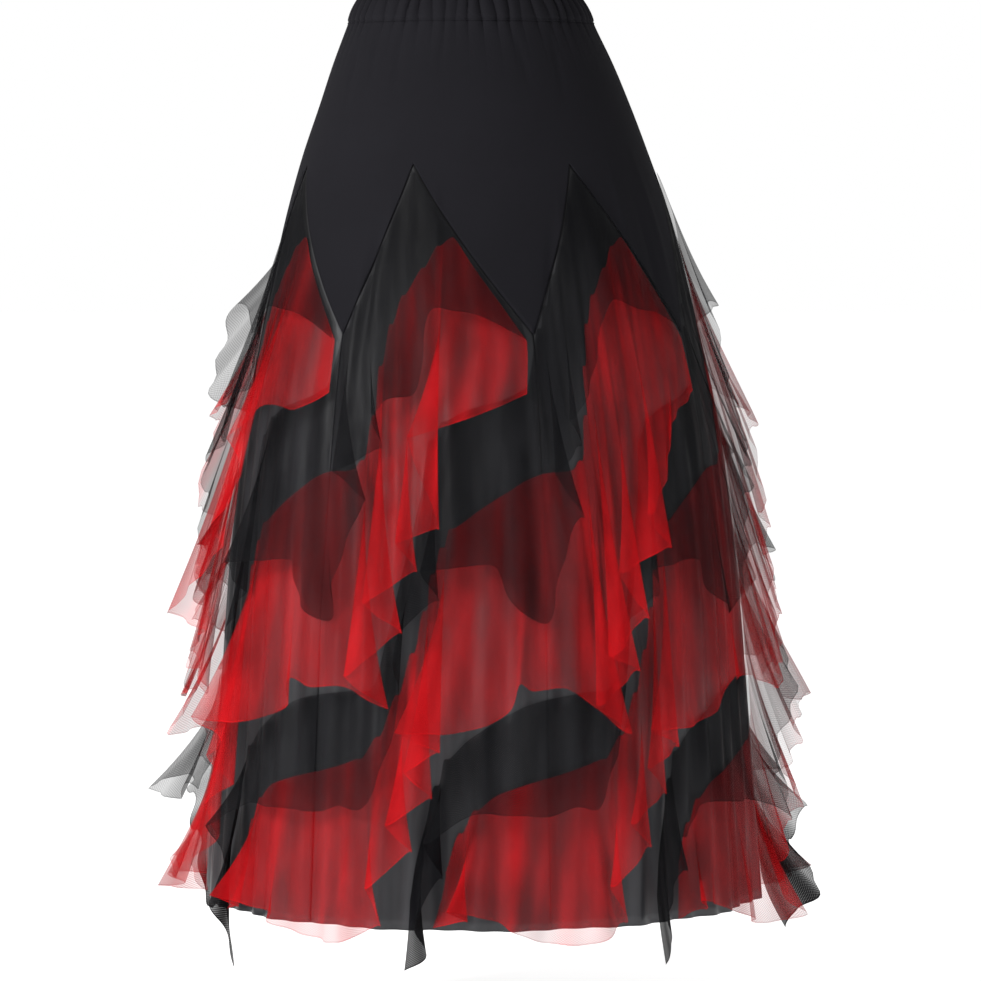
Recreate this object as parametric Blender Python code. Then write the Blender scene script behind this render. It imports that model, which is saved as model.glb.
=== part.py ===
"""Latin dance skirt: jersey waistband and yoke, seven satin godets, and spiral flounces of black and red mesh.

Millimetres and degrees are used in the tables, and the meshes are made in metres. A point of the skirt is given by
its turn (degrees from the front towards the wearer's left side, +X), its drop (mm below the top edge) and its stand
(mm outside the skirt's own surface). The origin is the middle of the waistband, and the front faces -Y.
"""

import math

import bpy
import numpy as np

MM = 0.001
WALL = 1.2
SEAM_GAP = 0.3
TOP = 12.0  # height of the waistband's top edge over the origin

# The skirt's own surface, without flounces: an ellipse at each drop.
#           drop  half_width  half_depth  sway
SECTIONS = (
    (0.0, 110.0, 86.0, 0.0),
    (24.0, 121.0, 94.0, 1.0),
    (60.0, 137.0, 105.0, 3.0),
    (105.0, 154.0, 118.0, 5.0),
    (155.0, 172.0, 130.0, 6.0),
    (205.0, 188.0, 143.0, 8.0),
    (300.0, 211.0, 168.0, 10.0),
    (400.0, 232.0, 190.0, 12.0),
    (550.0, 252.0, 217.0, 13.0),
    (700.0, 266.0, 238.0, 13.0),
    (950.0, 286.0, 263.0, 13.0),
)

BAND_HEIGHT = 24.0
GATHERS = 56
GATHER_DEPTH = 2.4

GODETS = 7
GODET_TURN = 360.0 / GODETS
FIRST_TIP = -71.7  # turn of godet 1's tip
TIP_DROP = 163.0
POINT_DROP = 328.0  # tips of the jersey points between the godets
POINT_RIGHT, POINT_LEFT = 34.0, 34.0 - GODET_TURN  # their turns from a godet's tip
HEM_DROP = 893.0
HEM_WAVES = 14
HEM_WAVE_DEPTH = 9.0
WAVES_START = 560.0

SEAM_STAND = 2.3  # of a flounce's sewn edge, wall centre to wall centre
FLARE_POWER = 1.7
SWING_POWER = 1.6
FOLD_BACK = 2.5  # a hem that turns back by more than this has a blunt fold there
BLUNT_TURN, BLUNT_STAND = 0.35, 1.5  # half the width of a blunt fold at the seam, and below it

# Fold lines of one black spiral flounce, from its start at the jersey's edge. Turns are from its own godet's tip.
#   seam_turn  seam_drop  hem_turn  hem_drop  stand  lift
BLACK = (
    (31.0, 317.0, 32.0, 332.0, 5.0, 1.9),
    (18.0, 254.0, 20.0, 308.0, 16.0, 1.9),
    (9.0, 210.0, 14.0, 304.0, 24.0, 1.9),
    (2.0, 176.0, 9.0, 303.0, 32.0, 1.0),
    (-2.0, 186.0, 5.0, 382.0, 26.0, 0.0),
    (-5.0, 214.0, -1.0, 388.0, 34.0, 0.0),
    (-8.0, 242.0, -6.0, 402.0, 26.0, 0.0),
    (-11.0, 270.0, -3.0, 435.0, 27.0, 0.0),
    (-14.0, 300.0, -13.0, 457.0, 40.0, 0.0),
    (-16.0, 322.0, -6.0, 485.0, 28.0, 0.0),
    (-18.0, 346.0, -13.0, 560.0, 28.0, 0.0),
    (-20.0, 376.0, -15.0, 600.0, 18.0, 0.0),
    (-22.0, 382.0, -21.0, 589.0, 26.0, 0.0),
    (-25.0, 388.0, -24.0, 575.0, 20.0, 0.0),
    (-29.0, 393.0, -27.0, 546.0, 18.0, 0.0),
    (-35.0, 400.0, -34.0, 546.0, 26.0, 0.0),
    (-40.0, 410.0, -43.0, 549.0, 40.0, 0.0),
    (-43.0, 428.0, -40.0, 578.0, 24.0, 0.0),
    (-45.0, 480.0, -50.0, 620.0, 15.0, 0.0),
    (-49.0, 560.0, -49.0, 680.0, 12.0, 0.0),
    (-52.0, 620.0, -52.0, 735.0, 16.0, 0.0),
    (-55.0, 665.0, -56.5, 777.0, 18.0, 0.0),
    (-60.0, 668.0, -61.0, 774.0, 24.0, 0.0),
    (-70.0, 675.0, -67.0, 782.0, 18.0, 0.0),
    (-77.0, 687.0, -76.0, 778.0, 36.0, 0.0),
    (-85.0, 710.0, -84.0, 780.0, 22.0, 0.0),
    (-90.0, 730.0, -93.0, 805.0, 40.0, 0.0),
    (-92.0, 755.0, -90.0, 840.0, 26.0, 0.0),
    (-94.0, 790.0, -95.0, 885.0, 30.0, 0.0),
    (-96.0, 830.0, -93.0, 915.0, 20.0, 0.0),
    (-97.0, 865.0, -97.0, 927.0, 24.0, 0.0),
)
# The same for one red spiral flounce.
RED = (
    (32.0, 334.0, 32.0, 384.0, 6.0, 0.0),
    (26.0, 300.0, 22.0, 401.0, 20.0, 0.0),
    (19.0, 264.0, 14.0, 412.0, 34.0, 0.0),
    (13.0, 235.0, 5.0, 423.0, 48.0, 0.0),
    (9.0, 243.0, 12.0, 509.0, 42.0, 0.0),
    (5.0, 264.0, 3.0, 522.0, 42.0, 0.0),
    (0.0, 290.0, 7.0, 550.0, 36.0, 0.0),
    (-3.0, 318.0, -4.0, 580.0, 46.0, 0.0),
    (-5.0, 358.0, 4.0, 608.0, 36.0, 0.0),
    (-6.0, 405.0, -8.0, 650.0, 42.0, 0.0),
    (-8.0, 448.0, 1.0, 680.0, 30.0, 0.0),
    (-11.0, 458.0, -11.0, 662.0, 20.0, 0.0),
    (-17.0, 460.0, -19.0, 663.0, 26.0, 0.0),
    (-21.0, 466.0, -22.0, 655.0, 36.0, 0.0),
    (-25.0, 476.0, -24.0, 682.0, 26.0, 0.0),
    (-31.0, 492.0, -34.0, 700.0, 38.0, 0.0),
    (-38.0, 512.0, -47.0, 700.0, 52.0, 0.0),
    (-40.0, 530.0, -39.0, 720.0, 38.0, 0.0),
    (-42.0, 555.0, -46.0, 738.0, 36.0, 0.0),
    (-43.5, 590.0, -41.0, 765.0, 24.0, 0.0),
    (-46.0, 630.0, -50.0, 790.0, 30.0, 0.0),
    (-49.0, 670.0, -45.0, 815.0, 22.0, 0.0),
    (-53.0, 710.0, -54.0, 850.0, 28.0, 0.0),
    (-57.0, 732.0, -51.0, 885.0, 22.0, 0.0),
    (-61.0, 738.0, -58.0, 900.0, 44.0, 0.0),
    (-66.0, 745.0, -67.0, 902.0, 22.0, 0.0),
    (-73.0, 753.0, -75.0, 888.0, 38.0, 0.0),
    (-79.0, 762.0, -78.0, 880.0, 24.0, 0.0),
    (-84.0, 778.0, -88.0, 868.0, 46.0, 0.0),
    (-87.0, 800.0, -85.0, 880.0, 26.0, 0.0),
    (-90.0, 838.0, -92.0, 888.0, 16.0, 0.0),
)
# Fold lines that hang their own way on one godet's spirals. Lines are counted from 0.
#   godet  line  hem_turn  hem_drop  stand
BLACK_OWN = (
    (1, 8, -13.0, 457.0, 31.0),
    (1, 9, -6.0, 485.0, 34.0),
    (2, 23, -64.0, 790.0, 26.0),
    (2, 24, -76.0, 787.0, 50.0),
    (3, 3, 6.0, 295.0, 30.0),
    (3, 4, -1.0, 363.0, 26.0),
    (3, 5, -4.0, 386.0, 32.0),
    (3, 6, -8.0, 408.0, 28.0),
    (3, 7, -6.0, 433.0, 28.0),
    (3, 9, -7.0, 500.0, 28.0),
    (3, 28, -95.0, 885.0, 29.0),
    (3, 29, -92.0, 918.0, 16.0),
    (3, 30, -91.0, 946.0, 11.0),
    (4, 2, 14.0, 304.0, 16.0),
    (4, 3, 9.0, 300.0, 13.0),
    (4, 4, 5.0, 366.0, 15.0),
    (4, 5, -1.0, 376.0, 17.0),
    (5, 16, -43.0, 549.0, 28.0),
    (5, 18, -50.0, 626.0, 30.0),
    (5, 19, -46.0, 686.0, 38.0),
    (5, 20, -51.5, 738.0, 26.0),
    (5, 21, -56.5, 804.0, 42.0),
    (5, 22, -61.0, 790.0, 36.0),
    (6, 28, -95.0, 888.0, 44.0),
    (6, 30, -97.0, 925.0, 16.0),
    (7, 2, 14.0, 304.0, 33.0),
    (7, 3, 9.0, 340.0, 43.0),
    (7, 4, 5.0, 400.0, 56.0),
    (7, 5, -2.0, 412.0, 50.0),
    (7, 6, -6.0, 422.0, 34.0),
    (7, 9, -6.0, 485.0, 36.0),
)
RED_OWN = (
    (1, 2, 16.0, 396.0, 34.0),
    (1, 3, 8.0, 430.0, 46.0),
    (1, 4, 13.0, 466.0, 42.0),
    (1, 6, 7.0, 535.0, 38.0),
    (1, 7, -4.0, 602.0, 56.0),
    (1, 8, 4.0, 616.0, 42.0),
    (1, 9, -8.0, 642.0, 28.0),
    (1, 13, -22.0, 655.0, 28.0),
    (1, 15, -34.0, 700.0, 32.0),
    (1, 17, -38.0, 742.0, 46.0),
    (2, 23, -51.0, 874.0, 18.0),
    (2, 24, -58.0, 872.0, 42.0),
    (2, 25, -67.0, 878.0, 22.0),
    (2, 26, -75.0, 872.0, 34.0),
    (2, 28, -88.0, 866.0, 36.0),
    (3, 1, 20.0, 412.0, 22.0),
    (3, 2, 14.0, 462.0, 36.0),
    (3, 3, 7.0, 497.0, 46.0),
    (3, 4, 12.0, 530.0, 42.0),
    (3, 5, 0.0, 552.0, 42.0),
    (3, 6, 6.0, 596.0, 36.0),
    (3, 7, -3.0, 630.0, 46.0),
    (3, 8, 4.0, 646.0, 36.0),
    (3, 9, -6.0, 676.0, 42.0),
    (3, 10, 2.0, 705.0, 30.0),
    (4, 2, 14.0, 412.0, 24.0),
    (4, 3, 6.0, 423.0, 27.0),
    (4, 4, 9.0, 509.0, 24.0),
    (4, 5, 3.0, 522.0, 28.0),
    (4, 6, 7.0, 550.0, 24.0),
    (4, 7, -4.0, 580.0, 37.0),
    (4, 8, 4.0, 608.0, 30.0),
    (5, 16, -47.0, 686.0, 46.0),
    (5, 17, -39.0, 716.0, 36.0),
    (5, 20, -50.0, 798.0, 37.0),
    (5, 24, -58.0, 898.0, 52.0),
    (7, 6, 7.0, 570.0, 50.0),
    (7, 7, -3.0, 606.0, 66.0),
    (7, 8, 4.0, 628.0, 56.0),
)
SWING, SWING_FROM = 7.0, -10.0  # how far hems swing towards the front on both sides, and the turn where none does
SWING_LENGTH = 120.0  # a flounce shorter than this swings less
SPREAD = 0.25  # how much further a flounce stands out at the sides than in front
# Where a spiral is pieced: the fold lines that start its middle and its low part.
BLACK_JOINS = (11, 21)
RED_JOINS = (11, 24)
SHARP_ANGLE = 50.0  # faces that meet at more than this keep a sharp edge
# Steps down a flounce, as parts of its length.
FLOUNCE_STEPS = (0.0, 0.36, 0.7, 1.0)


def smooth_rows(table, x):
    """The table's other columns at x, by a cubic through its rows with the slope at a row that of its neighbours."""
    rows = np.array(table)
    at, values = rows[:, 0], rows[:, 1:]
    slope = np.gradient(values, at, axis=0)
    x = np.clip(x, at[0], at[-1])
    i = np.clip(np.searchsorted(at, x, side="right") - 1, 0, len(at) - 2)
    step = (at[i + 1] - at[i])[..., None]
    u = ((x - at[i])[..., None]) / step
    return (
        values[i] * (1 + 2 * u) * (1 - u) ** 2
        + slope[i] * step * u * (1 - u) ** 2
        + values[i + 1] * u * u * (3 - 2 * u)
        + slope[i + 1] * step * u * u * (u - 1)
    )


def place(turn, drop, stand):
    """Points in mm: the ellipse at that drop, moved out along its normal by the hem's waves and the stand."""
    turn, drop, stand = np.broadcast_arrays(turn, drop, stand)
    section = smooth_rows(SECTIONS, drop)
    a, b, sway = section[..., 0], section[..., 1], section[..., 2]
    angle = np.radians(turn)
    normal = np.stack((np.sin(angle) / a, -np.cos(angle) / b), axis=-1)
    normal /= np.linalg.norm(normal, axis=-1, keepdims=True)
    deep = np.clip((drop - WAVES_START) / (HEM_DROP - WAVES_START), 0, 1.1)
    wave = HEM_WAVE_DEPTH * deep * (np.cos(np.radians(HEM_WAVES * (turn - FIRST_TIP))) - 1) / 2
    out = normal * (stand + wave)[..., None]
    x = sway + a * np.sin(angle) + out[..., 0]
    y = -b * np.cos(angle) + out[..., 1]
    return np.stack((x, y, TOP - drop), axis=-1)


def edge_drop(turn):
    """Drop of the yoke's zigzag edge: straight from each godet's tip to the jersey points beside it."""
    from_tip = (turn - FIRST_TIP - POINT_LEFT) % GODET_TURN + POINT_LEFT
    part = np.where(from_tip > 0, from_tip / POINT_RIGHT, from_tip / POINT_LEFT)
    return TIP_DROP + (POINT_DROP - TIP_DROP) * part


def offsets(middle, wrap):
    """How far each point of a grid moves for half the wall: along the mean of its faces' normals, mitred."""
    grid = np.concatenate((middle, middle[:, :1]), axis=1) if wrap else middle
    across = np.diff(grid, axis=1)
    down = np.diff(grid, axis=0)
    face = np.cross(down[:, :-1] + down[:, 1:], across[:-1] + across[1:])
    face /= np.linalg.norm(face, axis=-1, keepdims=True)
    if wrap:
        face = np.concatenate((face[:, -1:], face, face[:, :1]), axis=1)
    else:
        face = np.concatenate((face[:, :1], face, face[:, -1:]), axis=1)
    face = np.concatenate((face[:1], face, face[-1:]), axis=0)
    corners = np.stack((face[:-1, :-1], face[:-1, 1:], face[1:, :-1], face[1:, 1:]))
    if wrap:
        corners = corners[:, :, :-1]
    mean = corners.sum(axis=0)
    mean /= np.linalg.norm(mean, axis=-1, keepdims=True)
    slant = np.clip((corners * mean).sum(axis=-1).mean(axis=0), 0.4, 1.0)
    return mean * (WALL / 2 / slant)[..., None]


def cloth(name, colour, roughness):
    """One cloth's look, as a plain shader."""
    look = bpy.data.materials.new(name)
    look.use_nodes = True
    shader = look.node_tree.nodes["Principled BSDF"]
    shader.inputs["Base Color"].default_value = (*colour, 1.0)
    shader.inputs["Roughness"].default_value = roughness
    shader.inputs["Metallic"].default_value = 0.0
    return look


def closed_wall(name, look, outer, inner, wrap=False):
    """One closed object from the outer and the inner points of a wall, both grids of rows down and columns across."""
    rows, columns = outer.shape[:2]
    size = rows * columns
    index = np.arange(size).reshape(rows, columns)
    if wrap:
        index = np.concatenate((index, index[:, :1]), axis=1)
    a, b, c, d = index[:-1, :-1], index[:-1, 1:], index[1:, 1:], index[1:, :-1]
    middle = ((outer + inner) / 2).reshape(-1, 3)
    short = np.linalg.norm(middle[a] - middle[c], axis=-1) <= np.linalg.norm(middle[b] - middle[d], axis=-1)
    one = np.where(short[..., None], np.stack((a, c, b), -1), np.stack((a, d, b), -1)).reshape(-1, 3)
    two = np.where(short[..., None], np.stack((a, d, c), -1), np.stack((b, d, c), -1)).reshape(-1, 3)
    skin = np.concatenate((one, two))
    rims = [index[0], index[-1][::-1]]
    if not wrap:
        rims += [index[::-1, 0], index[:, -1]]
    faces = [skin, skin[:, ::-1] + size]
    for rim in rims:
        p, q = rim[:-1], rim[1:]
        faces += [np.stack((p, q, q + size), -1), np.stack((p, q + size, p + size), -1)]
    points = np.concatenate((outer.reshape(-1, 3), inner.reshape(-1, 3))) * MM
    mesh = bpy.data.meshes.new(name)
    mesh.from_pydata(points.tolist(), [], np.concatenate(faces).tolist())
    mesh.shade_smooth()
    mesh.set_sharp_from_angle(angle=math.radians(SHARP_ANGLE))
    mesh.materials.append(look)
    obj = bpy.data.objects.new(name, mesh)
    obj.parent = skirt
    bpy.context.scene.collection.objects.link(obj)


def wall(name, look, middle, wrap=False):
    """A cloth wall of even thickness round the middle points."""
    half = offsets(middle, wrap)
    closed_wall(name, look, middle + half, middle - half, wrap)


def waistband():
    turn = np.arange(GATHERS * 3) * 360.0 / (GATHERS * 3)
    part = np.array((0.0, 0.5, 1.0))[:, None]
    ripple = GATHER_DEPTH / 2 * np.cos(np.radians(GATHERS * turn)) * np.array((0.8, 1.0, 0.5))[:, None]
    drop = BAND_HEIGHT * part + 0 * turn
    bulge = 1.0 + 1.5 * (1 - (2 * part - 1) ** 2)
    wall("waistband", JERSEY, place(turn, drop, bulge + ripple), wrap=True)


def yoke(name, start, end):
    """The jersey between two seams, its columns set at every tip and point of the zigzag."""
    knots = sorted(
        {start, end}
        | {
            FIRST_TIP + GODET_TURN * k + at
            for k in range(-4, 9)
            for at in (0.0, POINT_RIGHT)
            if start + 1 < FIRST_TIP + GODET_TURN * k + at < end - 1
        }
    )
    trim = math.degrees(SEAM_GAP / 2 / 150.0)
    knots[0] += trim
    knots[-1] -= trim
    turn = [knots[0]]
    for left, right in zip(knots[:-1], knots[1:]):
        count = max(2, round((right - left) / 7.0))
        turn += [left + (right - left) * (k + 1) / count for k in range(count)]
    turn = np.array(turn)
    part = np.linspace(0, 1, 7)[:, None]
    top = BAND_HEIGHT + SEAM_GAP * 3
    wall(name, JERSEY, place(turn, top + part * (edge_drop(turn) - top), 0.0))


def godet(number):
    """One satin godet: its tip and sides follow the jersey's edge, then it falls straight to the hem."""
    tip = FIRST_TIP + GODET_TURN * (number - 1)
    trim = math.degrees(SEAM_GAP / 2 / 200.0)
    left = np.linspace(POINT_LEFT + trim, 0, 5)[:-1]
    right = np.linspace(0, POINT_RIGHT - trim, 8)
    turn = tip + np.concatenate((left, right))
    slope = np.where(turn - tip > 0, POINT_RIGHT * 3.2, -POINT_LEFT * 3.2) / (POINT_DROP - TIP_DROP)
    top = edge_drop(turn) + SEAM_GAP * np.sqrt(1 + 1 / slope**2)
    part = np.array((0.0, 0.14, 0.28, 0.43, 0.58, 0.72, 0.86, 1.0))[:, None]
    wall(f"godet_{number}", SATIN, place(turn, top + part * (HEM_DROP - top), 0.0))


def own_rows(rows, own, number):
    """The table's rows for one godet, with its own fold lines set in and the hems swung and spread by their turn."""
    rows = np.array(rows)
    for godet, line, *values in own:
        if godet == number:
            rows[line, 2:5] = values
    turn = np.radians(FIRST_TIP + GODET_TURN * (number - 1) + rows[:, 2])
    free = np.minimum(1, (rows[:, 3] - rows[:, 1]) / SWING_LENGTH)
    rows[:, 2] -= SWING * free * np.sin(turn - math.radians(SWING_FROM))
    rows[:, 4] *= 1 + SPREAD * np.sin(turn) ** 4
    return rows


def fold_lines(rows, table, joins):
    """The rows, with two lines for one where the table's hem folds back, and the joins' places among them."""
    step = np.diff(np.array(table)[:, 2])
    lines, places = [], []
    for i, row in enumerate(rows):
        if i in joins:
            places.append(len(lines))
        back = 0 < i < len(rows) - 1 and step[i - 1] * step[i] < 0 and min(abs(step[i - 1 : i + 1])) > FOLD_BACK
        sides = (1.0, -1.0) if back and i not in joins else (0.0,)
        lines += [(*row, side) for side in sides]
    return np.array(lines), places


def spiral(colour, look, rows, own, joins, number):
    """One spiral flounce as a wall, pieced in three: each fold line falls from the seam and flares out to the hem."""
    rows, joins = fold_lines(own_rows(rows, own, number), rows, joins)
    seam_turn, seam_drop, hem_turn, hem_drop, stand, lift, side = rows.T
    seam_turn = seam_turn + BLUNT_TURN * side
    tip = FIRST_TIP + GODET_TURN * (number - 1)
    part = np.array(FLOUNCE_STEPS)[:, None]
    turn = tip + seam_turn + (hem_turn - seam_turn) * part**SWING_POWER
    drop = seam_drop + (hem_drop - seam_drop) * part
    out = SEAM_STAND + lift + stand * part**FLARE_POWER + BLUNT_STAND * side * np.minimum(1, 4 * part)
    middle = place(turn, drop, out)[:, ::-1]
    half = offsets(middle, False)
    ends = (0, *[len(rows) - 1 - join for join in reversed(joins)], len(rows) - 1)
    for part_name, first, last in zip(("low", "mid", "top"), ends[:-1], ends[1:]):
        cut = slice(first, last + 1)
        sides = []
        for side in (middle + half, middle - half):
            side = side[:, cut].copy()
            for end, inward in ((0, 1), (-1, -2)):
                if (first, last)[end] in ends[1:-1]:
                    along = side[:, inward] - side[:, end]
                    along /= np.linalg.norm(along, axis=-1, keepdims=True)
                    side[:, end] += along * SEAM_GAP * 0.8
            sides.append(side)
        closed_wall(f"{colour}_flounce_{part_name}_{number}", look, *sides)


for obj in list(bpy.data.objects):
    bpy.data.objects.remove(obj)

skirt = bpy.data.objects.new("skirt", None)
bpy.context.scene.collection.objects.link(skirt)
JERSEY = cloth("jersey", (0.012, 0.012, 0.016), 0.9)
SATIN = cloth("satin", (0.008, 0.008, 0.01), 0.4)
BLACK_MESH = cloth("black_mesh", (0.012, 0.012, 0.014), 0.7)
RED_MESH = cloth("red_mesh", (0.55, 0.01, 0.03), 0.7)

waistband()
HIP_LEFT = FIRST_TIP - GODET_TURN + POINT_RIGHT
HIP_RIGHT = FIRST_TIP + GODET_TURN * 3
yoke("yoke_front", HIP_LEFT, HIP_RIGHT)
yoke("yoke_back", HIP_RIGHT, HIP_LEFT + 360.0)
for number in range(1, GODETS + 1):
    godet(number)
    spiral("black", BLACK_MESH, BLACK, BLACK_OWN, BLACK_JOINS, number)
    spiral("red", RED_MESH, RED, RED_OWN, RED_JOINS, number)
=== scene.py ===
# %% [markdown]
# # Latin dance skirt
# A long dance skirt, filled out as it is worn. A smooth black jersey yoke hangs from a gathered
# waistband. Seven satin godets are let into its zigzag edge, and fourteen flounces of sheer mesh, black
# and red in turn, spiral down over them to the wearer's right.
#
# This script dresses the solid model. It draws every piece again with finer folds, and gives each its
# cloth. The solids could be kept and only painted, but their few faces show, and a sheer cloth has to be
# one thin surface for the layers behind it to show through.

import bpy
import numpy as np
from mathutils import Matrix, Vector


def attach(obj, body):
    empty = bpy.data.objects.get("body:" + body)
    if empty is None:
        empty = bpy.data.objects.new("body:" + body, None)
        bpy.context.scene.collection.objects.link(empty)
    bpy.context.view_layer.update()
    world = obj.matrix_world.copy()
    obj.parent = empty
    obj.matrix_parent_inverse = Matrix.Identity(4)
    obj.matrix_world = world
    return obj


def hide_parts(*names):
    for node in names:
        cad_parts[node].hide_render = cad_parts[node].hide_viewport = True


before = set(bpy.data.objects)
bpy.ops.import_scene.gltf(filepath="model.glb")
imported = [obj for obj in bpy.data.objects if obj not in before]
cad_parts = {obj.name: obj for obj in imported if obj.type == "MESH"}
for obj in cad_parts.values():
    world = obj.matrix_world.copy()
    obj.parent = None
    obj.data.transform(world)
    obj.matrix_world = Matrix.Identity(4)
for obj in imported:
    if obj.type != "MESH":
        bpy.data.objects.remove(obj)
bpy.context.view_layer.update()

# %% [markdown]
# ## Sizes
# Lengths are in millimetres and angles in degrees. A point of the skirt is given by its turn (degrees
# from the front towards +X), its drop (mm below the waistband's top edge) and its stand (mm outside the
# skirt's own surface). The sizes are the solid model's, so each piece of cloth lies where its solid does.

# %% Sizes of the skirt's own surface
MM = 0.001
TOP = 12.0
# An ellipse at each drop: drop, half_width, half_depth, sway
SECTIONS = (
    (0.0, 110.0, 86.0, 0.0),
    (24.0, 121.0, 94.0, 1.0),
    (60.0, 137.0, 105.0, 3.0),
    (105.0, 154.0, 118.0, 5.0),
    (155.0, 172.0, 130.0, 6.0),
    (205.0, 188.0, 143.0, 8.0),
    (300.0, 211.0, 168.0, 10.0),
    (400.0, 232.0, 190.0, 12.0),
    (550.0, 252.0, 217.0, 13.0),
    (700.0, 266.0, 238.0, 13.0),
    (950.0, 286.0, 263.0, 13.0),
)
BAND_HEIGHT = 24.0
GATHERS = 56
GATHER_DEPTH = 2.4
GODETS = 7
GODET_TURN = 360.0 / GODETS
FIRST_TIP = -71.7
TIP_DROP, POINT_DROP, HEM_DROP = 163.0, 328.0, 893.0
POINT_RIGHT, POINT_LEFT = 34.0, 34.0 - GODET_TURN
HEM_WAVES, HEM_WAVE_DEPTH, WAVES_START = 14, 9.0, 560.0

# %% [markdown]
# ## Fold lines
# A spiral flounce has no simple outline, so it is drawn by its folds. Each row is one fold line, in the
# order of the sewn edge, from the jersey's point down to the end above the hem. The line leaves its seam
# at seam_turn and seam_drop, and reaches the free edge at hem_turn and hem_drop, stand mm outside the
# skirt. The stand and the way the free edge turns back and forth make the folds. Turns are from the
# godet's own tip.

# %% Fold lines of the black spirals: seam_turn, seam_drop, hem_turn, hem_drop, stand, lift
BLACK = (
    (31.0, 317.0, 32.0, 332.0, 5.0, 1.9),
    (18.0, 254.0, 20.0, 308.0, 16.0, 1.9),
    (9.0, 210.0, 14.0, 304.0, 24.0, 1.9),
    (2.0, 176.0, 9.0, 303.0, 32.0, 1.0),
    (-2.0, 186.0, 5.0, 382.0, 26.0, 0.0),
    (-5.0, 214.0, -1.0, 388.0, 34.0, 0.0),
    (-8.0, 242.0, -6.0, 402.0, 26.0, 0.0),
    (-11.0, 270.0, -3.0, 435.0, 27.0, 0.0),
    (-14.0, 300.0, -13.0, 457.0, 40.0, 0.0),
    (-16.0, 322.0, -6.0, 485.0, 28.0, 0.0),
    (-18.0, 346.0, -13.0, 560.0, 28.0, 0.0),
    (-20.0, 376.0, -15.0, 600.0, 18.0, 0.0),
    (-22.0, 382.0, -21.0, 589.0, 26.0, 0.0),
    (-25.0, 388.0, -24.0, 575.0, 20.0, 0.0),
    (-29.0, 393.0, -27.0, 546.0, 18.0, 0.0),
    (-35.0, 400.0, -34.0, 546.0, 26.0, 0.0),
    (-40.0, 410.0, -43.0, 549.0, 40.0, 0.0),
    (-43.0, 428.0, -40.0, 578.0, 24.0, 0.0),
    (-45.0, 480.0, -50.0, 620.0, 15.0, 0.0),
    (-49.0, 560.0, -49.0, 680.0, 12.0, 0.0),
    (-52.0, 620.0, -52.0, 735.0, 16.0, 0.0),
    (-55.0, 665.0, -56.5, 777.0, 18.0, 0.0),
    (-60.0, 668.0, -61.0, 774.0, 24.0, 0.0),
    (-70.0, 675.0, -67.0, 782.0, 18.0, 0.0),
    (-77.0, 687.0, -76.0, 778.0, 36.0, 0.0),
    (-85.0, 710.0, -84.0, 780.0, 22.0, 0.0),
    (-90.0, 730.0, -93.0, 805.0, 40.0, 0.0),
    (-92.0, 755.0, -90.0, 840.0, 26.0, 0.0),
    (-94.0, 790.0, -95.0, 885.0, 30.0, 0.0),
    (-96.0, 830.0, -93.0, 915.0, 20.0, 0.0),
    (-97.0, 865.0, -97.0, 927.0, 24.0, 0.0),
)

# %% Fold lines of the red spirals, in the same columns
RED = (
    (32.0, 334.0, 32.0, 384.0, 6.0, 0.0),
    (26.0, 300.0, 22.0, 401.0, 20.0, 0.0),
    (19.0, 264.0, 14.0, 412.0, 34.0, 0.0),
    (13.0, 235.0, 5.0, 423.0, 48.0, 0.0),
    (9.0, 243.0, 12.0, 509.0, 42.0, 0.0),
    (5.0, 264.0, 3.0, 522.0, 42.0, 0.0),
    (0.0, 290.0, 7.0, 550.0, 36.0, 0.0),
    (-3.0, 318.0, -4.0, 580.0, 46.0, 0.0),
    (-5.0, 358.0, 4.0, 608.0, 36.0, 0.0),
    (-6.0, 405.0, -8.0, 650.0, 42.0, 0.0),
    (-8.0, 448.0, 1.0, 680.0, 30.0, 0.0),
    (-11.0, 458.0, -11.0, 662.0, 20.0, 0.0),
    (-17.0, 460.0, -19.0, 663.0, 26.0, 0.0),
    (-21.0, 466.0, -22.0, 655.0, 36.0, 0.0),
    (-25.0, 476.0, -24.0, 682.0, 26.0, 0.0),
    (-31.0, 492.0, -34.0, 700.0, 38.0, 0.0),
    (-38.0, 512.0, -47.0, 700.0, 52.0, 0.0),
    (-40.0, 530.0, -39.0, 720.0, 38.0, 0.0),
    (-42.0, 555.0, -46.0, 738.0, 36.0, 0.0),
    (-43.5, 590.0, -41.0, 765.0, 24.0, 0.0),
    (-46.0, 630.0, -50.0, 790.0, 30.0, 0.0),
    (-49.0, 670.0, -45.0, 815.0, 22.0, 0.0),
    (-53.0, 710.0, -54.0, 850.0, 28.0, 0.0),
    (-57.0, 732.0, -51.0, 885.0, 22.0, 0.0),
    (-61.0, 738.0, -58.0, 900.0, 44.0, 0.0),
    (-66.0, 745.0, -67.0, 902.0, 22.0, 0.0),
    (-73.0, 753.0, -75.0, 888.0, 38.0, 0.0),
    (-79.0, 762.0, -78.0, 880.0, 24.0, 0.0),
    (-84.0, 778.0, -88.0, 868.0, 46.0, 0.0),
    (-87.0, 800.0, -85.0, 880.0, 26.0, 0.0),
    (-90.0, 838.0, -92.0, 888.0, 16.0, 0.0),
)

# %% [markdown]
# No two godets hang quite alike. These rows replace fold lines of one godet: godet, line, hem_turn,
# hem_drop, stand.

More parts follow.
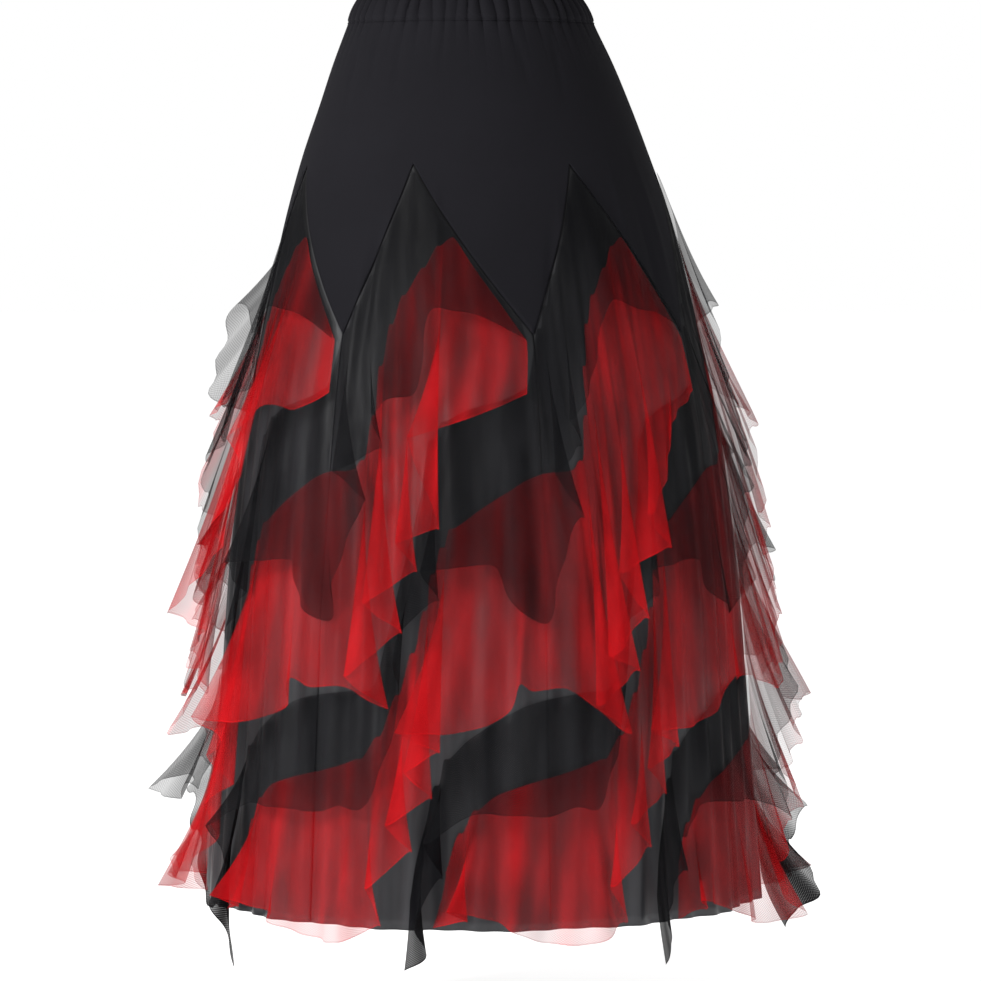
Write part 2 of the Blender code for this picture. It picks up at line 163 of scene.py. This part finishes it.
# %% Fold lines that hang their own way
BLACK_OWN = (
    (1, 8, -13.0, 457.0, 31.0),
    (1, 9, -6.0, 485.0, 34.0),
    (2, 23, -64.0, 790.0, 26.0),
    (2, 24, -76.0, 787.0, 50.0),
    (3, 3, 6.0, 295.0, 30.0),
    (3, 4, -1.0, 363.0, 26.0),
    (3, 5, -4.0, 386.0, 32.0),
    (3, 6, -8.0, 408.0, 28.0),
    (3, 7, -6.0, 433.0, 28.0),
    (3, 9, -7.0, 500.0, 28.0),
    (3, 28, -95.0, 885.0, 29.0),
    (3, 29, -92.0, 918.0, 16.0),
    (3, 30, -91.0, 946.0, 11.0),
    (4, 2, 14.0, 304.0, 16.0),
    (4, 3, 9.0, 300.0, 13.0),
    (4, 4, 5.0, 366.0, 15.0),
    (4, 5, -1.0, 376.0, 17.0),
    (5, 16, -43.0, 549.0, 28.0),
    (5, 18, -50.0, 626.0, 30.0),
    (5, 19, -46.0, 686.0, 38.0),
    (5, 20, -51.5, 738.0, 26.0),
    (5, 21, -56.5, 804.0, 42.0),
    (5, 22, -61.0, 790.0, 36.0),
    (6, 28, -95.0, 888.0, 44.0),
    (6, 30, -97.0, 925.0, 16.0),
    (7, 2, 14.0, 304.0, 33.0),
    (7, 3, 9.0, 340.0, 43.0),
    (7, 4, 5.0, 400.0, 56.0),
    (7, 5, -2.0, 412.0, 50.0),
    (7, 6, -6.0, 422.0, 34.0),
    (7, 9, -6.0, 485.0, 36.0),
)
RED_OWN = (
    (1, 2, 16.0, 396.0, 34.0),
    (1, 3, 8.0, 430.0, 46.0),
    (1, 4, 13.0, 466.0, 42.0),
    (1, 6, 7.0, 535.0, 38.0),
    (1, 7, -4.0, 602.0, 56.0),
    (1, 8, 4.0, 616.0, 42.0),
    (1, 9, -8.0, 642.0, 28.0),
    (1, 13, -22.0, 655.0, 28.0),
    (1, 15, -34.0, 700.0, 32.0),
    (1, 17, -38.0, 742.0, 46.0),
    (2, 23, -51.0, 874.0, 18.0),
    (2, 24, -58.0, 872.0, 42.0),
    (2, 25, -67.0, 878.0, 22.0),
    (2, 26, -75.0, 872.0, 34.0),
    (2, 28, -88.0, 866.0, 36.0),
    (3, 1, 20.0, 412.0, 22.0),
    (3, 2, 14.0, 462.0, 36.0),
    (3, 3, 7.0, 497.0, 46.0),
    (3, 4, 12.0, 530.0, 42.0),
    (3, 5, 0.0, 552.0, 42.0),
    (3, 6, 6.0, 596.0, 36.0),
    (3, 7, -3.0, 630.0, 46.0),
    (3, 8, 4.0, 646.0, 36.0),
    (3, 9, -6.0, 676.0, 42.0),
    (3, 10, 2.0, 705.0, 30.0),
    (4, 2, 14.0, 412.0, 24.0),
    (4, 3, 6.0, 423.0, 27.0),
    (4, 4, 9.0, 509.0, 24.0),
    (4, 5, 3.0, 522.0, 28.0),
    (4, 6, 7.0, 550.0, 24.0),
    (4, 7, -4.0, 580.0, 37.0),
    (4, 8, 4.0, 608.0, 30.0),
    (5, 16, -47.0, 686.0, 46.0),
    (5, 17, -39.0, 716.0, 36.0),
    (5, 20, -50.0, 798.0, 37.0),
    (5, 24, -58.0, 898.0, 52.0),
    (7, 6, 7.0, 570.0, 50.0),
    (7, 7, -3.0, 606.0, 66.0),
    (7, 8, 4.0, 628.0, 56.0),
)

# %% How flounces flare, swing and fold
SEAM_STAND = 2.3
FLARE_POWER, SWING_POWER = 1.7, 1.6
SWING, SWING_FROM, SWING_LENGTH = 7.0, -10.0, 120.0
SPREAD = 0.25
FOLD_BACK = 2.5
BLUNT_TURN, BLUNT_STAND = 0.35, 1.5
RIPPLE, RIPPLE_LENGTH = 3.4, 43.0  # fine waves of the free edge: height, and length along the edge
RIPPLE_POWER, RIPPLE_DRIFT = 1.6, 61.0
RIPPLE_WANDER, RIPPLE_SHIFT = 0.35, 1.9  # so that no two waves, and no two flounces, are alike

# %% [markdown]
# ## Shapes
# Every shape is a function on a grid of points, worked out as whole arrays: rows run down the skirt and
# columns run round it. A loop over points would give the same shape, but slowly and in more words.

# %% The skirt's own surface
def smooth_rows(table, x):
    """The table's other columns at x, by a cubic through its rows. A row's slope is its neighbours' slope."""
    rows = np.array(table)
    at, values = rows[:, 0], rows[:, 1:]
    slope = np.gradient(values, at, axis=0)
    x = np.clip(x, at[0], at[-1])
    i = np.clip(np.searchsorted(at, x, side="right") - 1, 0, len(at) - 2)
    step = (at[i + 1] - at[i])[..., None]
    u = (x - at[i])[..., None] / step
    return (
        values[i] * (1 + 2 * u) * (1 - u) ** 2
        + slope[i] * step * u * (1 - u) ** 2
        + values[i + 1] * u * u * (3 - 2 * u)
        + slope[i + 1] * step * u * u * (u - 1)
    )


def place(turn, drop, stand):
    """Points in metres: x = sway + half_width * sin(turn) and y = -half_depth * cos(turn), moved out along
    the ellipse's normal by the stand, and in by the hem's waves, which deepen from WAVES_START to the hem."""
    turn, drop, stand = np.broadcast_arrays(turn, drop, stand)
    section = smooth_rows(SECTIONS, drop)
    a, b, sway = section[..., 0], section[..., 1], section[..., 2]
    angle = np.radians(turn)
    normal = np.stack((np.sin(angle) / a, -np.cos(angle) / b), axis=-1)
    normal /= np.linalg.norm(normal, axis=-1, keepdims=True)
    deep = np.clip((drop - WAVES_START) / (HEM_DROP - WAVES_START), 0, 1.1)
    wave = HEM_WAVE_DEPTH * deep * (np.cos(np.radians(HEM_WAVES * (turn - FIRST_TIP))) - 1) / 2
    out = normal * (stand + wave)[..., None]
    x = sway + a * np.sin(angle) + out[..., 0]
    y = -b * np.cos(angle) + out[..., 1]
    return MM * np.stack((x, y, TOP - drop), axis=-1)


def edge_drop(turn):
    """Drop of the yoke's zigzag edge: straight from each godet's tip to the jersey points beside it."""
    from_tip = (turn - FIRST_TIP - POINT_LEFT) % GODET_TURN + POINT_LEFT
    part = np.where(from_tip > 0, from_tip / POINT_RIGHT, from_tip / POINT_LEFT)
    return TIP_DROP + (POINT_DROP - TIP_DROP) * part


# %% The fold lines of one godet
def own_rows(table, own, number):
    """The table's rows for one godet: its own lines set in, and the free edge swung towards the front by the
    sine of its turn and spread outwards at the sides."""
    rows = np.array(table)
    for godet, line, *values in own:
        if godet == number:
            rows[line, 2:5] = values
    turn = np.radians(FIRST_TIP + GODET_TURN * (number - 1) + rows[:, 2])
    free = np.minimum(1, (rows[:, 3] - rows[:, 1]) / SWING_LENGTH)
    rows[:, 2] -= SWING * free * np.sin(turn - np.radians(SWING_FROM))
    rows[:, 4] *= 1 + SPREAD * np.sin(turn) ** 4
    return rows


def fold_lines(rows, table):
    """The rows with a last column, side: where the table's hem folds back by more than FOLD_BACK, the line is
    doubled, side 1 and side -1, so that the fold is round and not a knife edge."""
    step = np.diff(np.array(table)[:, 2])
    back = (step[:-1] * step[1:] < 0) & (np.minimum(abs(step[:-1]), abs(step[1:])) > FOLD_BACK)
    count = 1 + np.concatenate(((0,), back, (0,)))
    lines = np.repeat(rows, count, axis=0)
    side = np.where(np.repeat(count, count) == 2, 1.0, 0.0)
    side[(np.cumsum(count) - 1)[count == 2]] = -1.0
    return np.column_stack((lines, side))


def through(rows, knots, steps):
    """A smooth curve through the rows, steps points from each to the next. The tangent at a row is the sum of
    the slopes on its two sides, less the slope across both, so that close rows make a tight, round fold."""
    rows = np.concatenate((2 * rows[:1] - rows[1:2], rows, 2 * rows[-1:] - rows[-2:-1]))
    knots = np.concatenate((2 * knots[:1] - knots[1:2], knots, 2 * knots[-1:] - knots[-2:-1]))
    gap = np.diff(knots)[:, None]
    pace = np.diff(rows, axis=0) / gap
    tangent = pace[:-1] + pace[1:] - (rows[2:] - rows[:-2]) / (gap[:-1] + gap[1:])
    u = (np.arange(steps) / steps)[None, :, None]
    a, b, h = rows[1:-2, None], rows[2:-1, None], gap[1:-1, None]
    curve = (
        a * (1 + 2 * u) * (1 - u) ** 2
        + tangent[:-1, None] * h * u * (1 - u) ** 2
        + b * u * u * (3 - 2 * u)
        + tangent[1:, None] * h * u * u * (u - 1)
    )
    return np.concatenate((curve.reshape(-1, rows.shape[1]), rows[-2:-1]))


def spiral_points(table, own, number, columns=9, down=26):
    """Grid of one spiral flounce. With part the share of the line fallen, the turn swings to the hem as
    part ** SWING_POWER and the stand grows as part ** FLARE_POWER. The free edge has a fine ripple too."""
    lines = fold_lines(own_rows(table, own, number), table)
    tip = FIRST_TIP + GODET_TURN * (number - 1)
    hem = place(tip + lines[:, 2], lines[:, 3], lines[:, 4] + BLUNT_STAND * lines[:, 6])
    steps = np.linalg.norm(np.diff(hem, axis=0), axis=1)
    knots = np.concatenate(((0,), np.cumsum(np.sqrt(steps + MM))))
    seam_turn, seam_drop, hem_turn, hem_drop, stand, lift, side = through(lines, knots, columns)[::-1].T
    edge = place(tip + hem_turn, hem_drop, stand)
    along = np.concatenate(((0,), np.cumsum(np.linalg.norm(np.diff(edge, axis=0), axis=1)))) / MM
    wander = RIPPLE_WANDER * np.sin(along / RIPPLE_DRIFT + number)
    phase = 2 * np.pi * (along / RIPPLE_LENGTH + wander) + RIPPLE_SHIFT * number
    part = np.linspace(0, 1, down)[:, None]
    turn = tip + seam_turn + BLUNT_TURN * side + (hem_turn - seam_turn) * part**SWING_POWER
    drop = seam_drop + (hem_drop - seam_drop) * part
    free = np.clip((hem_drop - seam_drop) / SWING_LENGTH, 0, 1)
    ripple = RIPPLE * np.sin(phase) * part**RIPPLE_POWER * free
    blunt = BLUNT_STAND * side * np.minimum(1, 4 * part)
    return place(turn, drop, SEAM_STAND + lift + stand * part**FLARE_POWER + blunt + ripple)


# %% [markdown]
# ## From points to cloth
# One function turns a grid into a cloth object. It also lays a UV map along the cloth, in metres from the
# lower edge and along it, because a weave follows the cloth and not the room. It prints the cloth's size.

# %% Make a mesh from a grid
def cloth(name, points, node_names, look, wall=0.0, wrap=False):
    """A smooth cloth object. On a wrapped grid the last column meets the first one again. A wall in mm, if
    given, is the cloth's thickness."""
    rows, columns = points.shape[:2]
    closed = np.concatenate((points, points[:, :1]), axis=1) if wrap else points
    across = np.linalg.norm(np.diff(closed, axis=1), axis=-1)
    down = np.linalg.norm(np.diff(closed, axis=0), axis=-1)
    u = np.broadcast_to(np.concatenate(((0,), np.cumsum(across.mean(axis=0)))), closed.shape[:2])
    v = np.concatenate((np.cumsum(down[::-1], axis=0)[::-1], np.zeros((1, closed.shape[1]))))
    index = np.arange(rows * columns).reshape(rows, columns)
    if wrap:
        index = np.concatenate((index, index[:, :1]), axis=1)
    quads = np.stack((index[:-1, :-1], index[1:, :-1], index[1:, 1:], index[:-1, 1:]), -1).reshape(-1, 4)
    uv = np.stack((u, v), -1)
    uv = np.stack((uv[:-1, :-1], uv[1:, :-1], uv[1:, 1:], uv[:-1, 1:]), -2)
    mesh = bpy.data.meshes.new(name)
    mesh.from_pydata(points.reshape(-1, 3), [], quads.tolist())
    mesh.uv_layers.new(name="UVMap").data.foreach_set("uv", uv.reshape(-1))
    mesh.shade_smooth()
    mesh.materials.append(look)
    obj = bpy.data.objects.new(name, mesh)
    bpy.context.scene.collection.objects.link(obj)
    if wall:
        solidify = obj.modifiers.new("wall", "SOLIDIFY")
        solidify.thickness = wall * MM
        solidify.offset = 0.0
    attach(obj, "root")
    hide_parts(*node_names)
    area = sum(p.area for p in mesh.polygons)
    size = across.sum(axis=1).mean(), down.sum(axis=0).mean()
    print(f"{name}: {size[0]:.3f} m along, {size[1]:.3f} m down, {area:.3f} m2")
    return obj, size, area


# %% [markdown]
# ## Writing shaders as sums
# A shader is a graph of nodes, and graphs are hard to read in code. Wrapping a socket in a small class
# whose operators add Math nodes lets a pattern be written as it would be on paper.

# %% A socket that can be added and multiplied
class Value:
    """One output socket of a material, with arithmetic."""

    def __init__(self, look, socket):
        self.look, self.socket = look, socket

    def math(self, operation, *others):
        return self.look.node("ShaderNodeMath", {"operation": operation}, self, *others)

    def __add__(self, other):
        return self.math("ADD", other)

    def __sub__(self, other):
        return self.math("SUBTRACT", other)

    def __rsub__(self, other):
        return self.look.node("ShaderNodeMath", {"operation": "SUBTRACT"}, other, self)

    def __mul__(self, other):
        return self.math("MULTIPLY", other)

    __radd__, __rmul__ = __add__, __mul__

    def cos(self):
        return self.math("COSINE")

    def clamp(self):
        return self.look.node("ShaderNodeClamp", {}, self)


class Look:
    """One material with a Principled shader."""

    def __init__(self, name, color, roughness, specular):
        self.material = bpy.data.materials.new(name)
        self.material.use_nodes = True
        self.tree = self.material.node_tree
        self.shader = self.tree.nodes["Principled BSDF"]
        self.shader.inputs["Base Color"].default_value = (*color, 1)
        self.shader.inputs["Roughness"].default_value = roughness
        self.shader.inputs["Specular IOR Level"].default_value = specular

    def node(self, kind, settings, *values, output=0, **named):
        """Adds a node: its settings first, then the values or links of its sockets, in order or by name."""
        node = self.tree.nodes.new(kind)
        for key, value in settings.items():
            setattr(node, key, value)
        for socket, value in [*zip(node.inputs, values), *((node.inputs[k], v) for k, v in named.items())]:
            self.put(socket, value)
        return Value(self, node.outputs[output])

    def put(self, socket, value):
        if isinstance(value, Value):
            self.tree.links.new(value.socket, socket)
        else:
            socket.default_value = value

    def feed(self, **inputs):
        """Links or sets sockets of the Principled shader, with underscores for spaces."""
        for name, value in inputs.items():
            self.put(self.shader.inputs[name.replace("_", " ")], value)

    def along_cloth(self):
        """The cloth's own coordinates in millimetres: along it, and up from its lower edge."""
        uv = self.node("ShaderNodeUVMap", {"uv_map": "UVMap"})
        along, up = (self.node("ShaderNodeSeparateXYZ", {}, uv, output=axis) for axis in (0, 1))
        return along * (1 / MM), up * (1 / MM)

    def noise(self, scale, detail=2.0, stretch=(1, 1, 1)):
        """Smooth noise from 0 to 1 on Object coordinates, scale cells to a metre."""
        spot = self.node("ShaderNodeTexCoord", {}, output=3)
        spot = self.node("ShaderNodeMapping", {}, spot, Scale=stretch)
        return self.node("ShaderNodeTexNoise", {}, Vector=spot, Scale=scale, Detail=detail)

    def blend(self, part, first, second):
        """The colour between two, by part from 0 to 1."""
        mix = self.node("ShaderNodeMix", {"data_type": "RGBA"}, part, output=2)
        for socket, color in zip(mix.socket.node.inputs[6:8], (first, second)):
            self.put(socket, (*color, 1))
        return mix


# %% [markdown]
# ## Jersey
# The yoke and the waistband are a fine black knit, matt and very slightly blue. Its stitches are too
# small to model, so two crossed waves on the cloth's own coordinates make the ribs of the knit for a
# bump, and a soft noise makes it a little uneven.

# %% Jersey
jersey = Look("jersey", (0.0085, 0.008, 0.0105), 0.85, 0.12)
u, v = jersey.along_cloth()
RIB, COURSE = 1.1, 1.5  # pitch of the knit's ribs and courses in mm
ribs = (u * (2 * np.pi / RIB)).cos() * 0.5 + (v * (2 * np.pi / COURSE)).cos() * 0.5
tone = jersey.blend(jersey.noise(9.0, 3.0), (0.0062, 0.0058, 0.0078), (0.0094, 0.0089, 0.0117))
jersey.feed(
    Base_Color=tone,
    Normal=jersey.node("ShaderNodeBump", {}, Strength=0.25, Distance=0.0003, Height=ribs),
)

# %% [markdown]
# ## Satin
# The godets are black satin. Light runs down its folds in long soft bands. Its threads run down the
# cloth, so a noise that is stretched downwards changes the roughness a little, and a fine one lifts the
# surface. The same noise is also painted into the base colour as a painted sheen, in lighter bands. The
# tips slant towards the light, so they are duller there: the painted sheen and the glossier finish come
# in only lower down, and above them the base colour is a near black painted shade.

# %% Satin
satin = Look("satin", (0.007, 0.007, 0.008), 0.36, 0.34)
streaks_and_painted_sheen = satin.noise(55.0, 2.0, (1, 1, 0.06))
crumple = satin.noise(14.0, 3.0, (1, 1, 0.35))
spot = satin.node("ShaderNodeTexCoord", {}, output=3)
height = satin.node("ShaderNodeSeparateXYZ", {}, spot, output=2)
SHEEN_TOP, SHEEN_FADE = -0.22, 0.2  # height in m below which the sheen comes in, and over what length
# low: 0 at the tips, 1 lower down; it lets in the painted sheen of the base colour and a lower roughness
low = ((SHEEN_TOP - height) * (1 / SHEEN_FADE)).clamp()
# Base colour: painted sheen in bands low down, painted shade near black at the tips; roughness and bump are
# real
satin.feed(
    Base_Color=satin.blend(low * streaks_and_painted_sheen, (0.003, 0.003, 0.004), (0.055, 0.055, 0.061)),
    Roughness=0.54 - low * 0.22 + streaks_and_painted_sheen * 0.2,
    Normal=satin.node("ShaderNodeBump", {}, Strength=0.6, Distance=0.014, Height=crumple + streaks_and_painted_sheen * 0.12),
)

# %% [markdown]
# ## Sheer mesh
# The flounces are a fine net. Each layer hides nearly half of what is behind it, so one red layer over
# black is a dull rose, two are bright red, and one over white is pink. The net is two crossed waves in
# the alpha, and folds too small for the grid are soft bands in it. Where two layers overlap, their waves
# beat against each other, as they do in the real cloth. The free edge is cut and turned, so a narrow line
# along it is denser.

# %% Sheer mesh
NET, NET_DEPTH = 2.3, 0.16  # pitch of the net in mm, and how much it changes the alpha
HEM_LINE, HEM_DEPTH = 1.5, 0.12  # width of the dense line along the free edge, and its added alpha
PLEATS, PLEAT_DEPTH = ((53, 0.0), (31, 2.0), (84, 4.0)), 0.05  # length and shift of each wave of small folds
TAIL = 110.0  # length in mm over which the low end's added alpha fades


def sheer(name, light, dark, cover, tail):
    """A net: cover is the mean alpha, and tail is added to it towards the spiral's low end, where the cloth
    hangs in many narrow folds. The colour runs between light and dark in soft clouds of painted shade,
    which stand in for the shading of the folds."""
    look = Look(name, light, 0.8, 0.05)
    u, v = look.along_cloth()
    net = ((u + v) * (2 * np.pi / NET)).cos() * 0.5 + ((u - v) * (2 * np.pi / NET)).cos() * 0.5
    hem = (HEM_LINE - v).math("GREATER_THAN", 0.0)
    end = (1.6 - u * (1 / TAIL)).clamp()
    pleats = 0.0
    for length, shift in PLEATS:
        pleats = pleats + (u * (2 * np.pi / length) + shift).cos()
    # Painted shade: soft clouds of lighter and darker colour that stand in for the shading of folds.
    tone = look.blend((look.noise(26.0, 2.0, (1, 1, 0.3)) * 3.0 - 1.0).clamp(), dark, light)
    alpha = net * NET_DEPTH + cover + pleats * PLEAT_DEPTH + hem * HEM_DEPTH + end * tail
    look.feed(Base_Color=tone, Alpha=alpha.clamp())
    return look


black_mesh = sheer("black_mesh", (0.008, 0.008, 0.009), (0.003, 0.003, 0.004), 0.52, 0.4)
red_mesh = sheer("red_mesh", (0.57, 0.006, 0.010), (0.30, 0.003, 0.005), 0.42, 0.1)

# %% [markdown]
# ## Waistband
# An elastic runs in a casing of jersey and draws it in, so the band has 56 small gathers all round. They
# are a wave in the stand of the grid. The band bulges a little over the elastic and is stitched at its
# lower edge, where the gathers fade into the yoke.

# %% Waistband
def gathers(turn, part):
    """Stand of the gathers, from -1 in a crease to about 0.4 on a ridge: round ridges with narrow creases
    between. They wander a little to the side and differ in depth, as an elastic draws them in."""
    wander = turn + 1.2 * np.sin(np.radians(turn * 5 + 30)) + 0.7 * np.sin(np.radians(turn * 13) + 2.2 * part)
    uneven = 1 + 0.3 * np.sin(np.radians(turn * 9)) + 0.25 * np.sin(np.radians(turn * 23 + 40))
    return uneven * (1.4 * abs(np.sin(np.radians(GATHERS / 2 * wander))) ** 0.7 - 1)


turn = np.arange(GATHERS * 14) * 360.0 / (GATHERS * 14)
part = np.linspace(0, 1, 15)[:, None]
BULGE, STITCH_DEPTH = 1.6, 1.2  # how far the elastic stands out, and the line of stitches lies in
bulge = 1.0 + BULGE * (1 - (2 * part - 1) ** 2) - STITCH_DEPTH * np.exp(-(((part - 0.93) / 0.05) ** 2))
ripple = 0.85 * GATHER_DEPTH * gathers(turn, part) * (1.15 - 0.35 * part)
band, _, _ = cloth(
    "band",
    place(turn, BAND_HEIGHT * part, bulge + ripple),
    ["waistband"],
    jersey.material,
    wall=1.2,
    wrap=True,
)

# %% [markdown]
# ## Yoke
# The yoke is two pieces of jersey, front and back, joined at the hips. Its upper edge follows the band
# and its lower edge the zigzag that the godets are sewn into. The gathers run on a few centimetres below
# the band and fade. The main creases of the yoke and the godets are listed, one row a crease, as
# soft troughs and ridges, since real ones differ in length, depth and spacing.

# %% Main creases of the yoke and the godets
# turn, lean (degrees in a drop of 100), from drop, to drop, half width in degrees, height (below 0: a trough)
CREASES = (
    (-58.0, 4.0, 28.0, 120.0, 2.2, -0.9),
    (-47.0, 6.0, 26.0, 90.0, 1.8, -0.7),
    (-33.0, 3.0, 26.0, 100.0, 2.4, -0.6),
    (-12.0, -3.0, 26.0, 80.0, 1.6, -0.5),
    (19.0, 4.0, 26.0, 95.0, 2.0, -0.7),
    (38.0, -4.0, 26.0, 110.0, 2.2, -0.8),
    (47.0, 1.0, 150.0, 330.0, 2.0, 1.3),
    (55.0, 2.0, 170.0, 340.0, 2.4, -1.8),
    (63.0, 1.0, 140.0, 320.0, 2.2, 1.4),
    (31.5, -0.5, 165.0, 380.0, 1.7, 1.9),
    (25.5, -3.0, 185.0, 400.0, 1.4, 1.4),
    (21.5, -3.5, 215.0, 420.0, 1.5, -1.4),
    (-12.5, 1.5, 180.0, 300.0, 1.3, 1.5),
    (-25.5, -2.5, 185.0, 360.0, 1.6, 1.6),
    (-29.5, -1.5, 215.0, 420.0, 1.6, -1.8),
    (-33.5, -1.0, 245.0, 430.0, 1.3, 1.5),
    (-75.0, -2.0, 190.0, 400.0, 1.8, 1.6),
    (118.0, 2.0, 30.0, 130.0, 3.0, -0.9),
    (152.0, -3.0, 28.0, 110.0, 2.4, -0.8),
    (187.0, 2.0, 28.0, 140.0, 2.8, -0.9),
    (221.0, -3.0, 28.0, 105.0, 2.2, -0.8),
    (246.0, 2.0, 40.0, 150.0, 2.6, -0.9),
)


def creases(turn, drop):
    """Sum over the creases of height * exp(-(off the crease's line / half width) ** 2), each fading in from
    its upper end and out to its lower end as a half sine."""
    total = 0.0
    for at, lean, start, end, width, height in CREASES:
        off = (turn - at - lean * (drop - start) / 100 + 180) % 360 - 180
        along = np.clip((drop - start) / (end - start), 0, 1)
        total = total + height * np.exp(-((off / width) ** 2)) * np.sin(np.pi * along)
    return total


# %% Yoke
HIP_LEFT = FIRST_TIP - GODET_TURN + POINT_RIGHT
HIP_RIGHT = FIRST_TIP + GODET_TURN * 3
FADE, FAINT_FADE, FAINT = 9.0, 26.0, 0.35  # mm over which the gathers fade, and a fainter part of them
for name, start, end in (("front", HIP_LEFT, HIP_RIGHT), ("back", HIP_RIGHT, HIP_LEFT + 360)):
    turn = np.linspace(start, end, 501)
    part = np.linspace(0, 1, 57)[:, None] ** 1.3
    drop = BAND_HEIGHT + part * (edge_drop(turn) - BAND_HEIGHT)
    below = drop - BAND_HEIGHT
    fade = np.exp(-below / FADE) + FAINT * np.exp(-below / FAINT_FADE)
    ripple = 1.2 * (gathers(turn, 1.0) + 0.1) * fade + creases(turn, drop)
    yoke, size, area = cloth(
        f"{name}_yoke", place(turn, drop, ripple), [f"yoke_{name}"], jersey.material, 1.0
    )

# %% [markdown]
# ## Godets
# A godet is a tall triangle of satin let into the jersey's edge, to make the hem wide. It falls from its
# tip in soft upright folds. Here each is a grid under the zigzag edge, with folds that grow inwards from
# nothing at the tip, to keep clear of the flounces in front. Its upper edge is tucked a few millimetres
# behind the jersey and its left edge behind the next godet, as a seam is, and so they show no rims.

# %% Godets
TUCK, TUCK_DEPTH = 4.0, 1.6  # mm that the upper edge goes up behind the jersey, and how far in it lies
OVERLAP, OVERLAP_DEPTH = 0.9, 1.4  # degrees that the left edge goes behind the next godet, and mm in
SATIN_FOLDS, SATIN_DEPTH = 53, 4.4  # folds all round, and their depth
for number in range(1, GODETS + 1):
    tip = FIRST_TIP + GODET_TURN * (number - 1)
    left, right = np.linspace(POINT_LEFT - OVERLAP, 0, 30)[:-1], np.linspace(0, POINT_RIGHT, 58)
    turn = tip + np.concatenate((left, right))
    part = np.linspace(0, 1, 71)[:, None]
    top = edge_drop(np.clip(turn, tip + POINT_LEFT, tip + POINT_RIGHT)) - TUCK
    folds = np.cos(np.radians(SATIN_FOLDS * turn) + 0.8 * np.sin(part * 5 + number)) - 1
    fold = SATIN_DEPTH / 2 * folds * np.minimum(1, part * 1.6)
    drop = top + part * (HEM_DROP - top)
    fold = fold - TUCK_DEPTH * np.exp(-(((drop - top) / (2.5 * TUCK)) ** 2)) + creases(turn, drop)
    fold = fold - OVERLAP_DEPTH * np.exp(-(((turn - turn[0]) / OVERLAP) ** 2))
    godet, _, area = cloth(
        f"satin_godet_{number}",
        place(turn, drop, fold),
        [f"godet_{number}"],
        satin.material,
        0.8,
    )

# %% [markdown]
# ## Flounces
# A flounce is cut as a flat spiral, so its inner edge is short and its outer edge long, and once it is
# sewn on by the inner edge the outer one falls in waves. From each godet, one black and one red flounce
# run down and round to the right side of the next godets. Each is one sheet over the three solids that
# stand for it.

# %% Flounces
for number in range(1, GODETS + 1):
    for colour, table, own, look in (
        ("black", BLACK, BLACK_OWN, black_mesh),
        ("red", RED, RED_OWN, red_mesh),
    ):
        flounce, size, area = cloth(
            f"{colour}_spiral_{number}",
            spiral_points(table, own, number),
            [f"{colour}_flounce_{third}_{number}" for third in ("top", "mid", "low")],
            look.material,
        )

# %% [markdown]
# ## Stage
# The skirt stands over a plain pale floor in an even white room, as in a studio. The room is shown white,
# but it lights the skirt less than it shows, so that the two soft lamps in front can shape the folds.

# %% Floor and light
ROOM_LIGHT, ROOM_SHOWN = 0.36, 1.0
FLOOR_HEIGHT = -1.02
scene = bpy.context.scene
scene.view_settings.view_transform = "Standard"
world = bpy.data.worlds.new("studio")
world.use_nodes = True
scene.world = world
nodes, links = world.node_tree.nodes, world.node_tree.links
background = nodes["Background"]
background.inputs["Color"].default_value = (1, 1, 1, 1)
seen = nodes.new("ShaderNodeLightPath")
strength = nodes.new("ShaderNodeMapRange")
strength.inputs["To Min"].default_value = ROOM_LIGHT
strength.inputs["To Max"].default_value = ROOM_SHOWN
links.new(seen.outputs["Is Camera Ray"], strength.inputs["Value"])
links.new(strength.outputs[0], background.inputs["Strength"])

floor_look = Look("floor", (0.9, 0.9, 0.9), 0.9, 0.0)
floor_look.feed(Emission_Color=(1, 1, 1, 1), Emission_Strength=0.74)
bpy.ops.mesh.primitive_plane_add(size=60, location=(0, 0, FLOOR_HEIGHT))
floor = bpy.context.object
floor.name = "floor"
floor.data.materials.append(floor_look.material)


def soft_lamp(name, position, aim, size, power):
    """A square lamp that faces the point aim."""
    data = bpy.data.lights.new(name, "AREA")
    data.size = size
    data.energy = power
    lamp = bpy.data.objects.new(name, data)
    lamp.location = position
    lamp.rotation_euler = (Vector(aim) - Vector(position)).to_track_quat("-Z", "Y").to_euler()
    scene.collection.objects.link(lamp)


MIDDLE = (0, 0, -0.4)
soft_lamp("key", (-2.8, -2.3, 1.4), MIDDLE, 1.1, 150)
soft_lamp("fill", (2.4, -2.2, 0.2), MIDDLE, 1.6, 4)

# %% [markdown]
# ## Camera
# The picture was taken from in front, about level with the hips and aimed a little down. At the skirt's
# axis one pixel of the 981 is 1 mm.

# %% Camera
AIM = Vector((0.0205, 0.0, -0.4765))
camera_data = bpy.data.cameras.new("camera")
camera = bpy.data.objects.new("camera", camera_data)
camera.location = (AIM.x, -4.6, -0.188)
camera.rotation_euler = (AIM - camera.location).to_track_quat("-Z", "Y").to_euler()
camera_data.sensor_width = 36.0
camera_data.lens = camera_data.sensor_width * (AIM - camera.location).length / 0.981
camera_data.clip_end = 100
scene.collection.objects.link(camera)
scene.camera = camera
